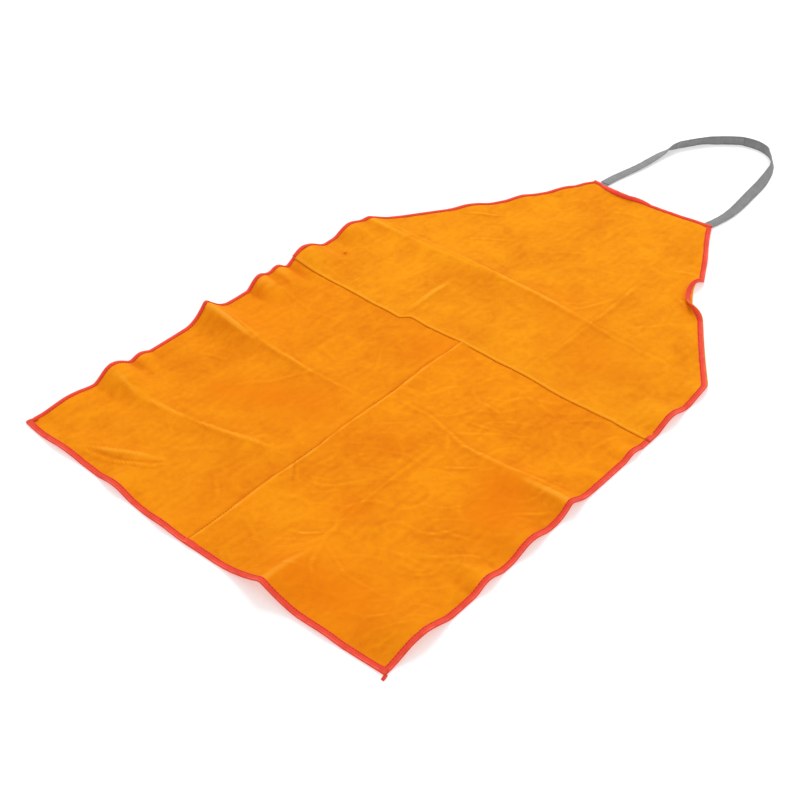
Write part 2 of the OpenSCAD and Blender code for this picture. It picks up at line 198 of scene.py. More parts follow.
# fine creases: the points that each runs through, its height and its half width
CREASES = (
    (((-300, 126), (-236, 117), (-155, 132), (-98, 145), (-18, 172)), 1.2, 8),
    (((-226, 7), (-170, 19), (-126, 44), (-106, 75)), 1, 6),
    (((-205, 17), (-155, 32), (-111, 67)), -0.7, 6),
    (((-96, 317), (-130, 254), (-174, 204)), 1.2, 11),
    (((-300, 306), (-196, 296), (-110, 298), (-10, 307)), 1.2, 7),
    (((10, 330), (64, 334), (136, 318), (202, 320), (300, 333)), 1.4, 7),
    (((-290, 617), (-120, 620), (20, 619), (145, 612), (262, 610)), 1.4, 7),
    (((106, 15), (112, 60), (114, 107), (108, 190), (110, 330)), 0.85, 7),
    (((109, 480), (109, 606), (105, 735)), 1, 6),
    (((-99, 475), (-98, 560)), 1.1, 6),
    (((114, 104), (138, 52), (164, 32)), 1.2, 6),
    (((118, 92), (170, 72), (227, 76)), 0.93, 4),
    (((112, 104), (92, 84), (72, 78)), 1, 6),
    (((115, 110), (104, 138), (78, 158)), 0.62, 6),
    (((-1, 165), (24, 138)), -0.78, 4),
    (((114, 445), (170, 436), (214, 432)), 0.7, 6),
    (((70, 392), (152, 395)), 0.54, 4), (((142, 373), (230, 374)), 0.54, 4),
    (((105, 352), (150, 368)), 0.62, 4), (((11, 351), (44, 351)), 0.54, 4),
    (((136, 270), (177, 301)), 0.85, 6), (((250, 262), (286, 297)), 1.1, 7),
    (((200, 316), (214, 290)), 0.62, 6), (((40, 236), (96, 262), (136, 262)), 0.62, 8),
    (((-144, 575), (-150, 537)), 0.93, 6), (((-202, 494), (-203, 468)), 0.78, 4),
    (((-188, 494), (-190, 468)), 0.62, 4), (((-196, 718), (-150, 748)), 0.93, 6),
    (((-152, 668), (-96, 706)), 0.7, 7), (((100, 684), (72, 620)), 1.1, 8),
    (((103, 722), (106, 700)), 1.1, 4), (((-60, 700), (10, 752)), 0.46, 9),
    (((150, 640), (196, 690)), 0.54, 8), (((30, 560), (80, 520)), 0.54, 8),
    (((-260, 400), (-200, 392), (-150, 402)), 0.62, 7), (((-70, 396), (-40, 350)), 0.54, 7),
    (((-250, 230), (-205, 246)), 0.7, 7), (((200, 190), (250, 206)), 0.62, 6),
    (((180, 130), (236, 142)), 0.62, 6), (((-60, 90), (-20, 60)), 0.54, 7),
    (((30, 60), (70, 40)), 0.62, 6), (((-40, 860), (30, 884)), 0.46, 8),
    (((154, 806), (120, 790)), 1.2, 8), (((196, 729), (160, 742)), 1.1, 7),
)
# crumpling of the dry leather: seed, longest fold, height
CRUMPLE = ((41, 110, 0.62), (57, 66, 0.3))
# where an edge is rolled up: which edge, place along it, reach, half width, turn in degrees
CURLS = (("right", 758, 16, 40, 155), ("top", -40, 14, 42, 46))
# where it lies a little out of true: x, y, radius, shift in x and in y
NUDGES = (
    (-300, 0, 60, -5, -3), (-255, -4, 45, 0, -3), (-40, -10, 60, 0, -3), (300, 10, 40, -3, 0),
    (-190, 770, 60, 4, 0), (-125, 870, 45, 4, 0), (145, 845, 40, 2.5, 0),
    (-104, 922, 16, 3, -4), (-74, 914, 26, 0, -8), (-50, 906, 26, 0, -6),
)
# marks on the leather: x, y, radius, strength
STAINS = (
    (-259, 522, 4, 2.6), (-258, 519, 3, 0.7), (100, 146, 22, 0.35), (116, 160, 18, 0.3),
    (-136, 214, 34, 0.42), (-112, 236, 24, 0.3), (-172, 196, 26, 0.35), (-295, 9, 8, 1.0),
    (60, 250, 40, 0.25), (-20, 40, 34, 0.2), (180, 470, 34, 0.2), (-230, 350, 60, 0.25),
    (-60, 250, 46, 0.45), (-20, 440, 40, 0.4), (200, 50, 60, 0.55), (130, 30, 40, 0.4),
    (240, 250, 46, 0.6), (215, 300, 34, 0.5), (60, 620, 60, 0.3), (150, 560, 60, 0.4),
)


def wave(x, y, at, turn, reach, half, height, sharp):
    c, s = math.cos(math.radians(turn)), math.sin(math.radians(turn))
    dx, dy = x - at[0], y - at[1]
    across = (dy * c - dx * s) / half
    return height * dome((dx * c + dy * s) / reach) * (crest(across) if sharp else dome(across))


def crease(x, y, points, height, half):
    """A ridge along a line of points, fading out at its two ends."""
    best, where = np.full(x.shape, 1e9), np.zeros(x.shape)
    legs = [math.dist(a, b) for a, b in zip(points, points[1:])]
    total, before = sum(legs), 0.0
    for (a, b), leg in zip(zip(points, points[1:]), legs):
        d = ((b[0] - a[0]) / leg, (b[1] - a[1]) / leg)
        along = np.clip((x - a[0]) * d[0] + (y - a[1]) * d[1], 0, leg)
        far = np.hypot(x - a[0] - along * d[0], y - a[1] - along * d[1])
        where = np.where(far < best, (before + along) / total, where)
        best = np.minimum(best, far)
        before += leg
    fade = np.sin(np.pi * np.clip(where, 0.02, 0.98)) ** 0.6
    return height * fade * crest(best / half)


def rolling(x, y, seed, longest, shortest, count):
    """A gentle unevenness between -1 and 1, the same each time for the same seed."""
    rng = np.random.default_rng(seed)
    total = np.zeros(np.shape(x))
    for length in np.geomspace(longest, shortest, count):
        turn, phase = rng.uniform(0, math.tau, 2)
        bent = 0.6 * np.sin((x * math.sin(turn) - y * math.cos(turn)) / length * 2.1 + phase)
        along = (x * math.cos(turn) + y * math.sin(turn)) / length
        total += np.sin(along * math.tau + phase + bent)
    return total / math.sqrt(count * 2)


def rolled(x, y, edge, at, reach, half, turn):
    """Shifts in x, y and z where an edge turns up round half its reach and then lies straight."""
    if edge == "right":
        slope = half_w(y + 0.5) - half_w(y - 0.5)
        size = np.sqrt(1 + slope**2)
        into = np.stack([-1 / size, slope / size])
        inside = (half_w(y) - x) / size
        along = (y - inside * into[1] - at) / half
    else:
        into = np.stack([np.zeros(x.shape), -np.ones(x.shape)])
        inside, along = top_y(x) - y, (x - at) / half
    angle = np.maximum(math.radians(turn) * np.clip(1 - along**2, 0, 1), 1e-4)
    s = np.clip(reach - inside, 0, reach + EDGE_REACH)
    radius = reach / 2 / angle
    bend = np.minimum(s, reach / 2) / radius
    flap = np.maximum(s - reach / 2, 0)
    back = s - radius * np.sin(bend) - flap * np.cos(angle)
    return into[0] * back, into[1] * back, radius * (1 - np.cos(bend)) + flap * np.sin(angle)


class Lie:
    """Where each point of the leather's underside lies, on a fine raster."""

    STEP = 2.0
    LOW = (-330.0, -40.0)
    COUNT = (331, 501)

    def __init__(self):
        xs = self.LOW[0] + self.STEP * np.arange(self.COUNT[0])
        ys = self.LOW[1] + self.STEP * np.arange(self.COUNT[1])
        x, y = np.meshgrid(xs, ys, indexing="ij")
        edge = np.minimum(half_w(y) - np.abs(x), y - hem_y(x))
        edge = np.minimum(edge, top_y(x) - y)
        z = TAPE_LIFT * (1 - smooth((edge - 7) / SETTLE_W))
        for side, share, reach, half, height, sharp in SIDE_WAVES:
            at = share * APRON_L
            z += wave(x, y, (side * half_w(at), at), 0, reach, half, height, sharp)
        for share, reach, half, height, sharp in HEM_WAVES:
            at = share * 2 * HALF_W
            z += wave(x, y, (at, hem_y(at)), 90, reach, half, height, sharp)
        for share_x, share_y, turn, reach, half, height in FOLDS:
            at = (share_x * 2 * HALF_W, share_y * APRON_L)
            z += wave(x, y, at, turn, reach, half, height * FOLD_RISE, 1)
        z += wave(x, y, (DIP_X, APRON_L - TOP_DIP), 90, reach=50, half=50, height=2, sharp=0)
        for tab in (LEFT_TAB, RIGHT_TAB):
            z += wave(x, y, (tab, APRON_L), 90, reach=80, half=50, height=CORNER_RISE, sharp=0)
        for points, height, half in CREASES:
            z += crease(x, y, points, height, half)
        # painted shade: a thin dark line along each crease, shifted 1.6 mm to its side towards +x
        # and -y, of uneven strength
        self.painted_crease_shade = sum(
            crease(x - 1.6, y + 1.6, points, min(1, abs(height)), 2.6 + 0.12 * half)
            for points, height, half in CREASES)
        self.painted_crease_shade *= 0.65 + 0.35 * rolling(x, y, 14, 60, 16, 9)
        calm = smooth((edge - 4) / 30)
        z += calm * (0.55 + 0.5 * rolling(x, y, 4, 130, 34, 9))
        z += 0.16 * (1 + rolling(x, y, 9, 30, 11, 8))
        crumpled = calm * (0.4 + 0.6 * smooth(x / 40) * (1 - smooth((y - WAIST + 30) / 60)))
        for seed, long, high in CRUMPLE:
            folds = np.abs(rolling(x, y, seed, long, long * 0.55, 5))
            z += crumpled * high * (1 - np.clip(folds / 0.6, 0, 1)) ** 2
        z = np.maximum(z, 0.05)
        self.bend = sum(np.gradient(np.gradient(z, self.STEP, axis=k), self.STEP, axis=k)
                        for k in (0, 1))
        place = stack(x, y, z)
        for curl in CURLS:
            place += stack(*rolled(x, y, *curl))
        for nx, ny, radius, du, dv in NUDGES:
            fade = patch(x, y, nx, ny, radius)
            place[..., 0] += du * fade
            place[..., 1] += dv * fade
        self.place = place
        across = np.gradient(place, self.STEP, axis=0)
        upward = np.gradient(place, self.STEP, axis=1)
        self.up = unit(np.cross(across, upward))

    def read(self, raster, x, y):
        u = np.clip((np.asarray(x) - self.LOW[0]) / self.STEP, 0, self.COUNT[0] - 1.001)
        v = np.clip((np.asarray(y) - self.LOW[1]) / self.STEP, 0, self.COUNT[1] - 1.001)
        i, j = u.astype(int), v.astype(int)
        a, b = u - i, v - j
        if raster.ndim == 3:
            a, b = a[..., None], b[..., None]
        low = raster[i, j] * (1 - a) + raster[i + 1, j] * a
        high = raster[i, j + 1] * (1 - a) + raster[i + 1, j + 1] * a
        return low * (1 - b) + high * b

    def normal(self, x, y):
        return unit(self.read(self.up, x, y))

    def point(self, x, y, h):
        """Points h above the underside, square to it."""
        return self.read(self.place, x, y) + self.normal(x, y) * np.asarray(h)[..., None]

    def marks(self, x, y):
        """(wear_and_shading, stain_and_highlight): above 0 on ridges, paler as if rubbed, and
        below 0 in valleys and along the crease lines, which is painted shade; and how stained each
        place is.
        """
        # paler on ridges as if rubbed, with painted shade in hollows and along the crease lines
        wear_and_shading = -self.read(self.bend, x, y) * 7 - 0.85 * self.read(self.painted_crease_shade, x, y)
        wear_and_shading = np.clip(wear_and_shading, -1, 1)
        stain_and_highlight = np.zeros(np.shape(x))
        for sx, sy, radius, strength in STAINS:
            stain_and_highlight += strength * patch(x, y, sx, sy, radius)
        return wear_and_shading, np.clip(stain_and_highlight, 0, 1)


LIE = Lie()


def placed(points):
    """Points in the cut's millimetres to the row frame in metres."""
    return (np.asarray(points) + (0, HEM_AT, 0)) * MM


def spot(x, y, z):
    return tuple(float(c) for c in placed((x, y, z)))


def cut_box(node):
    """The low and high corners of a CAD node, in the cut's millimetres."""
    return [np.array(v) / MM - (0, HEM_AT, 0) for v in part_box(node)]


# ---- mesh helpers


def finished(bm, node, material, name=None):
    """Turns a bmesh into the object that stands for a CAD node."""
    if bm.calc_volume(signed=True) < 0:
        bmesh.ops.reverse_faces(bm, faces=bm.faces[:])
    for face in bm.faces:
        face.smooth = True
    name = "apron_" + (name or node)
    mesh = bpy.data.meshes.new(name)
    bm.to_mesh(mesh)
    bm.free()
    mesh.materials.append(bpy.data.materials[material])
    obj = bpy.data.objects.new(name, mesh)
    bpy.context.scene.collection.objects.link(obj)
    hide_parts(node)
    return obj


def mapped_grid(nu, nv, at, thickness, flip=False):
    """A grid of nu by nv points laid out by at(i, j), which gives points, pattern,
    wear_and_shading (rubbed paleness with painted shade and highlights) and stain_and_highlight
    (stains on the leather, the painted highlight on the tape), and then thickened downwards."""
    bm = bmesh.new()
    bmesh.ops.create_grid(bm, x_segments=nu - 1, y_segments=nv - 1, size=1)
    flat = np.array([v.co for v in bm.verts])
    i = np.rint((flat[:, 0] + 1) / 2 * (nu - 1)).astype(int)
    j = np.rint((flat[:, 1] + 1) / 2 * (nv - 1)).astype(int)
    points, pattern, wear_and_shading, stain_and_highlight = at(i, j)
    points = placed(points)
    layer = bm.verts.layers.float_vector.new("pattern")
    wear_and_shading_layer = bm.verts.layers.float.new("wear_and_shading")
    stain_and_highlight_layer = bm.verts.layers.float.new("stain_and_highlight")
    for v, p, q, w, s in zip(bm.verts, points.tolist(), (pattern * MM).tolist(),
                             wear_and_shading.tolist(), stain_and_highlight.tolist()):
        v.co = p
        v[layer] = q
        v[wear_and_shading_layer] = w
        v[stain_and_highlight_layer] = s
    if flip:
        bmesh.ops.reverse_faces(bm, faces=bm.faces[:])
    thicken(bm, thickness * MM)
    return bm


def thicken(bm, thickness):
    """Gives an open surface a second layer below it, joined round the edge and kept above 0."""
    bm.normal_update()
    made = bmesh.ops.extrude_face_region(bm, geom=bm.faces[:], use_keep_orig=True)
    for v in made["geom"]:
        if isinstance(v, bmesh.types.BMVert):
            v.co -= v.normal * thickness
    for v in bm.verts:
        v.co.z = max(v.co.z, 0.0)
    bmesh.ops.recalc_face_normals(bm, faces=bm.faces[:])


def leather_marks(x, y, back):
    """Pattern, rubbed paleness with painted shade, and stains of the leather, with another part of
    the pattern on its back.
    """
    wear_and_shading, stain_and_highlight = LIE.marks(x, y)
    return stack(x, y, np.where(back, 40.0, 0.0)), wear_and_shading, stain_and_highlight


def ease(length, skip, coarse):
    """Distances up to length, close together at the start, without the first few."""
    steps = [0.0, 0.5, 1.1, 2.0, 3.2, 4.8, 6.6, 9.0]
    rest = np.linspace(steps[-1] + coarse, length, max(2, int((length - steps[-1]) / coarse)))
    return np.array(steps[skip:] + list(rest))


def folded_edge(t, allow, length, coarse):
    """(distance, height of the outer face) across a panel from its seam allowance, turned under,
    round the fold and on over the top."""
    under = [(d, 0.0) for d in np.linspace(allow, t * 1.2, 6)]
    bend = [(t * (1 - math.cos(a)), t * (1 + math.sin(a)))
            for a in np.linspace(-math.pi / 2, math.pi / 2, 7)]
    top = [(d, 2 * t) for d in ease(length, 3, coarse)]
    d, h = np.array(under + bend + top).T
    over = np.arange(len(d)) >= len(under) + len(bend)
    settle = t * smooth((d - allow + 3) / 14)
    puff = 0.45 * bell((d - 4.5) / 3)
    return d, np.where(over, h - settle + puff, h), over


def seam_lip(d):
    """How a panel's face swells beside a seam and dips into it."""
    return 0.55 * bell((d - 5.5) / 3) - 0.7 * np.exp(-d / 0.9)


# ---- leather


def build_skirt_panel(side):
    s = bpy.context.scene.apron
    t, allow = s.leather_t / MM, s.seam_allow / MM
    step = s.mesh_step / MM
    w = ease(WAIST, 0, step) / WAIST
    if side < 0:
        d = ease(HALF_W - SEAM_OPEN / 2, 0, step)
        h, over = t + seam_lip(d), np.ones(len(d), bool)
    else:
        d, h, over = folded_edge(t, allow, HALF_W - SEAM_OPEN / 2, step)
    cols = side * (d + SEAM_OPEN / 2)

    def at(i, j):
        x = cols[i] + 1.0 * np.sin(w[j] * 21) * np.exp(-np.abs(cols[i]) / 60)
        low, high = hem_y(x), waist_y(x) - SEAM_OPEN / 2
        y = high - (high - low) * w[::-1][j]
        near = w[::-1][j] * WAIST
        height = h[i] + np.where(over[i], seam_lip(near), 0)
        pattern, wear_and_shading, stain_and_highlight = leather_marks(x, y, ~over[i])
        # painted shade in the waist seam and in the centre seam, strongest on the left panel's
        # edge
        wear_and_shading = wear_and_shading - 0.9 * np.exp(-near / 1.6) - (0.1 if side > 0 else 1.0) * np.exp(-d[i] / 1.4)
        # painted highlight on the right panel's folded edge beside the centre seam, and a band of
        # painted shade on the left panel's side of it
        ridge = bell((d[i] - 2.4) / 2.2) * (1.0 if side > 0 else -0.35)
        wear_and_shading = wear_and_shading + ridge * (0.8 + 0.2 * np.sin(y * 0.21))
        return LIE.point(x, y, height), pattern, wear_and_shading, stain_and_highlight

    half = "skirt_left" if side < 0 else "skirt_right"
    bm = mapped_grid(len(cols), len(w), at, t, flip=side < 0)
    return finished(bm, half + "_panel", half + "_split")


def build_bib():
    s = bpy.context.scene.apron
    t, allow, step = s.leather_t / MM, s.seam_allow / MM, s.mesh_step / MM
    length = APRON_L - WAIST
    d, h, over = folded_edge(t, allow, length, step)
    cols = np.linspace(-1, 1, int(2 * HALF_W / step / 1.15))

    def at(i, j):
        share = d[j] / length
        row = WAIST + share * length
        x = cols[i] * half_w(row)
        low, high = waist_y(x) + SEAM_OPEN / 2, top_y(x)
        y = low + (high - low) * share
        pattern, wear_and_shading, stain_and_highlight = leather_marks(x, y, ~over[j])
        # painted shade in the waist seam and a painted highlight on the bib's folded lower edge
        # just above it
        wear_and_shading = wear_and_shading - 0.5 * np.exp(-d[j] / 0.8) + 0.9 * bell((d[j] - 2.4) / 1.8)
        return LIE.point(x, y, h[j]), pattern, wear_and_shading, stain_and_highlight * 0.8

    bm = mapped_grid(len(cols), len(d), at, t)
    return finished(bm, "bib_panel", "bib_split", name="bib")


# ---- binding tape


def run(points):
    """(points, unit tangents, distances) of a line, evenly spaced."""
    points = np.asarray(points, float)
    along = distances(points)
    at = np.linspace(0, along[-1], int(along[-1] / EDGE_STEP) + 1)
    even = stack(*(np.interp(at, along, points[:, k]) for k in (0, 1)))
    return even, unit(np.gradient(even, axis=0)), at


def side_line(side, low, high):
    y = np.linspace(low, high, 400)
    return stack(side * half_w(y), y)


def edge_lines():
    """The line of each bound edge, from left to right or from the hem upwards."""
    x = np.linspace(-HALF_W - 0.6, HALF_W + 0.6, 300)
    top = np.linspace(-HALF_TOP - 1.5, HALF_TOP + 1.5, 120)
    left, right, gap = WAIST - WAIST_JOG / 2, WAIST + WAIST_JOG / 2, SEAM_GAP / 2
    return {
        "hem": stack(x, hem_y(np.clip(x, -HALF_W, HALF_W))),
        "left_side": side_line(-1, 3, left - gap),
        "right_side": side_line(1, 3, right - gap),
        "left_armhole": side_line(-1, left + gap, APRON_L - 2),
        "right_armhole": side_line(1, right + gap, APRON_L - 2),
        "bib_top": stack(top, top_y(top)),
    }


# for each bound edge, the seed of its unevenness and 1 where the leather is on its run's left
EDGES = {"hem": (1, 1), "left_side": (2, -1), "right_side": (3, 1), "left_armhole": (4, -1),
         "right_armhole": (5, 1), "bib_top": (6, -1)}


def tape_profile(width, t, tape):
    """Distances in from the edge and heights of the tape's outer face, and how many are on top."""
    out = t / 2 + tape + TAPE_GAP
    legs = np.linspace(width, 0.0, 10)
    bend = np.linspace(math.pi / 2, -math.pi / 2, 7)[1:-1]
    top = [(d, t + tape + TAPE_GAP) for d in legs]
    fold = [(-0.8 * out * math.cos(a), t / 2 + out * math.sin(a)) for a in bend]
    below = -tape - TAPE_GAP
    under = [(d, below) for d in legs[::-1][:-1:2]] + [(width * 0.94, below)]
    d, h = np.array(top + fold + under).T
    return d, h, len(top)


def inward(tangent, side):
    """The way into the leather, on the run's left where side is 1 and on its right where -1."""
    return stack(-tangent[:, 1], tangent[:, 0]) * side


def build_tape(name):
    s = bpy.context.scene.apron
    t, tape, width = s.leather_t / MM, s.tape_t / MM, s.tape_w / MM
    if name.startswith("left"):
        width = width * LEFT_TAPE
    seed, side = EDGES[name]
    points, tangent, along = run(edge_lines()[name])
    into = inward(tangent, side)
    d, h, top = tape_profile(width, t, tape)
    n, m = len(points), len(d)
    lip = 0.35 * rolling(along, along * 0, seed, 70, 9, 6)
    puff = 0.18 * rolling(along, along * 0, seed + 20, 40, 7, 6)
    raised = np.zeros(n)
    if name == "hem":
        x = points[:, 0]
        raised += (t + 0.3) * smooth((x + 1.5) / 2) * (1 - smooth((x - 9) / 14))
    if name.endswith("armhole"):
        raised += (t + 0.3) * (1 - smooth((points[:, 1] - WAIST - 9) / 14))
    if name in ("hem", "bib_top"):
        end = np.minimum(along, along[-1] - along)
        raised += (tape + 0.1) * (1 - smooth((end - 9) / 8))

    def at(i, j):
        share = np.clip(d[j] / width, 0, 1)
        on_top = j < top
        crown = 0.4 * np.sin(np.pi * np.clip(d[j] / (width * STITCH_AT), 0, 1)) * (1 + puff[i])
        stitch = -0.28 * bell((share - STITCH_AT) / 0.05)
        pucker = 0.10 * np.cos(along[i] / s.stitch_pitch * MM * math.tau) * share
        height = h[j] + np.where(on_top, crown + stitch + pucker, 0)
        height = height + raised[i] * np.where(h[j] > t / 2, 1, -0.1)
        inside = d[j] + lip[i] * share**2
        x = points[i, 0] + into[i, 0] * inside
        y = points[i, 1] + into[i, 1] * inside
        solid = LIE.point(x, y, height)
        solid[:, 2] = np.maximum(solid[:, 2], 0.02)
        pattern = stack(along[i], j * 1.0, np.full(i.shape, seed * 30.0))
        # painted shade in the sunk stitch line and on the under leg, lighter where the tape puffs
        # up, and a painted highlight where the tape turns round the edge
        painted_stitch_shade = 0.9 * bell((share - STITCH_AT) / 0.09)
        wear_and_shading = np.where(on_top, 0.5 * puff[i] - painted_stitch_shade, -0.3)
        painted_highlight = np.where(on_top, 0.8 * bell(share / 0.14), 0)
        return solid, pattern, wear_and_shading, painted_highlight

    bm = mapped_grid(n, m, at, tape, flip=side > 0)
    return finished(bm, name + "_binding", "woven_tape")


# ---- thread


def stitch_row(node, points, ups, width, height, material):
    """One small bead of thread for each stitch: points are pairs of its two ends."""
    bm = bmesh.new()
    for (a, b), up in zip(points, ups):
        length = math.dist(a, b)
        a, b = Vector(a), Vector(b)
        along = (b - a).normalized()
        across = Vector(up).cross(along).normalized()
        rise = along.cross(across)
        turn = Matrix((along * length / 2, across * width / 2, rise * height)).transposed()
        bmesh.ops.create_icosphere(
            bm, subdivisions=1, radius=1,
            matrix=Matrix.Translation((a + b) / 2) @ turn.to_4x4())
    return finished(bm, node, material)


def row_on(line, side, offset, height, pitch, share):
    """Ends and normals of a row of stitches beside a line, or on it where side is 0."""
    points, tangent, along = run(line)
    normal = inward(tangent, side)
    starts = np.arange(pitch / 2, along[-1] - pitch, pitch)
    ends = []
    for at in (starts, starts + pitch * share):
        x = np.interp(at, along, points[:, 0] + normal[:, 0] * offset)
        y = np.interp(at, along, points[:, 1] + normal[:, 1] * offset)
        ends.append((placed(LIE.point(x, y, np.full(x.shape, height))), LIE.normal(x, y)))
    return list(zip(ends[0][0], ends[1][0])), ends[0][1]


def build_tape_thread(name):
    s = bpy.context.scene.apron
    pairs, ups = row_on(
        edge_lines()[name], EDGES[name][1], s.tape_w / MM * STITCH_AT,
        (s.leather_t + s.tape_t) / MM + 0.16, s.stitch_pitch / MM, 0.78)
    return stitch_row(name + "_binding_thread", pairs, ups, s.thread_w, s.thread_w * 0.34,
                      "red_thread")


# ---- neck strap
# where the strap runs: right of the middle, above the bib's top edge, and its lean in degrees
ROUTE = np.array((
    (LEFT_TAB, 0, 0), (-84, 24, 0), (-79, 50, 2), (-74, 76, 6), (-71, 104, 9), (-68, 130, 24),
    (-64, 146, 58), (-59, 160, 74), (-48, 179, 77), (-36, 197, 76), (-23, 210, 88),
    (-3, 227, 90), (14, 237, 90), (34, 240, 90), (50, 237, 88), (63, 229, 80), (77, 214, 70),
    (87, 195, 68), (93, 173, 54), (98, 145, 36), (101, 110, 24), (104, 72, 9), (104, 45, 2),
    (101, 22, 0), (RIGHT_TAB + 2, 8, 0), (RIGHT_TAB, 0, 0)), float)
LAST = len(ROUTE) - 1
LAP_FROM, LAP_TO = 12.0, 14.75
STRAP_FLOOR = 0.35


def route(s):
    """The route at parameter s, one unit for each of its points."""
    k = np.minimum(LAST - 1, np.floor(s).astype(int))
    t = (s - k)[:, None]
    a, b = ROUTE[np.maximum(0, k - 1)], ROUTE[k]
    c, d = ROUTE[k + 1], ROUTE[np.minimum(LAST, k + 2)]
    return 0.5 * (2 * b + (c - a) * t + (2 * a - 5 * b + 4 * c - d) * t**2
                  + (3 * b - a - 3 * c + d) * t**3)


def strap_frame(s, thick, width, shift):
    """(middle, the way across the webbing, the way out of its face) along the strap."""
    p = route(s)
    q, o = route(np.minimum(LAST, s + 0.05)), route(np.maximum(0, s - 0.05))
    d = unit((q - o)[:, :2])
    d[s <= 0] = (0, 1)
    d[s >= LAST] = (0, -1)
    lean = np.radians(np.clip(p[:, 2], 0, 90))
    flat = np.zeros(len(s))
    into = stack(d[:, 1], -d[:, 0], flat)
    up = np.array((0, 0, 1.0))
    cos, sin = np.cos(lean)[:, None], np.sin(lean)[:, None]
    across = into * cos + up * sin
    face = up * cos - into * sin
    z = STRAP_FLOOR + width / 2 * np.sin(lean) + thick / 2 * np.cos(lean)
    middle = stack(p[:, 0], APRON_L + SEAM_GAP + p[:, 1], z)
    return middle - into * shift * sin, across, face


def build_strap_length(node, start, end, shift):
    s = bpy.context.scene.apron
    width, thick = s.strap_w / MM, s.strap_t / MM
    at_s = np.linspace(start, end, int((end - start) * 16) + 1)
    middle, across, face = strap_frame(at_s, thick, width, shift)
    along = distances(middle)
    cols = np.array((-0.5, -0.485, -0.44, -0.3, -0.15, 0, 0.15, 0.3, 0.44, 0.485, 0.5))
    edge_round = np.array((0.32, 0.14, 0, 0, 0, 0, 0, 0, 0, 0.14, 0.32))
    uneven = 0.25 * rolling(along, along * 0, 31, 60, 12, 6)

    def at(i, j):
        lift = thick / 2 - edge_round[j] + uneven[i] * (cols[j] * 2) ** 2
        p = middle[i] + across[i] * (cols[j] * width)[:, None] + face[i] * lift[:, None]
        pattern = stack(along[i], cols[j] * width, np.full(i.shape, shift))
        in_lap = smooth((at_s[i] - LAP_FROM + 0.1) / 0.2) * smooth((LAP_TO + 0.1 - at_s[i]) / 0.2)
        # painted light and shade by how the strap lies: lighter where it lies flat at the left
        # end, darker where it stands on edge; painted shade along its edges and in the lap
        leg = 0.4 * (1 - smooth((at_s[i] - 4) / 4)) - 0.3 * smooth((at_s[i] - 7) / 2)
        leg = leg + 0.3 * smooth((at_s[i] - 16) / 3)
        wear_and_shading = leg - 0.6 * (np.abs(cols[j]) > 0.43) - 0.3 * in_lap
        return p, pattern, wear_and_shading, np.zeros(i.shape)

    bm = mapped_grid(len(at_s), len(cols), at, thick)
    obj = finished(bm, node, "woven_webbing")
    path = [tuple(p) for p in placed(middle).tolist()]
    return obj, path, float(along[-1]) * MM


def build_tab(node):
    """The end of the webbing, sewn behind the bib's corner."""
    low, high = cut_box(node)
    rows, cols = np.linspace(low[1], high[1], 12), np.linspace(low[0], high[0], 11)

    def at(i, j):
        x, y = cols[i], rows[j]
        fray = 0.35 * np.sin(x * 5.1) * (j == 0)
        z = high[2] + 0.05 * np.sin(x * 3)
        pattern = stack(y, x - cols.mean(), np.zeros(i.shape))
        plain = np.zeros(i.shape)
        return stack(x, y + fray, z), pattern, plain, plain

    bm = mapped_grid(len(cols), len(rows), at, high[2] - low[2])
    return finished(bm, node, "woven_webbing")


def build_tab_tack(node):
    """A bar of zigzag stitches across the back of the strap's sewn end."""
    s = bpy.context.scene.apron
    low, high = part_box(node)
    count = 16
    xs = np.linspace(low.x, high.x, count + 1)
    pairs, z = [], (low.z + high.z) / 2
    for k in range(count):
        a, b = (low.y, high.y) if k % 2 else (high.y, low.y)
        pairs.append(((xs[k], a, z), (xs[k + 1], b, z)))
    ups = [(0, 0, 1)] * count
    return stitch_row(node, pairs, ups, s.thread_w, (high.z - low.z) / 2, "grey_thread")


def build_lap_tack(node, at_s):
    """A bar of zigzag stitches across the lap, on the inner face of the standing webbing."""
    s = bpy.context.scene.apron
    width, thick = s.strap_w / MM, s.strap_t / MM
    count = 14
    across_at = np.linspace(-0.4, 0.4, count + 1) * width
    span = 0.10  # of the strap's parameter
    pairs, ups = [], []
    for k in range(count):
        ends = []
        for n, c in ((k % 2, across_at[k]), (1 - k % 2, across_at[k + 1])):
            middle, across, face = strap_frame(np.array([at_s + n * span]), thick, width, 0)
            ends.append(middle[0] + across[0] * c)
            out = face[0]
        lift = out * (thick + 0.12)
        pairs.append(tuple(map(tuple, placed([ends[0] + lift, ends[1] + lift]))))
        ups.append(tuple(out))
    return stitch_row(node, pairs, ups, s.thread_w, s.thread_w * 0.4, "grey_thread")


# ---- materials


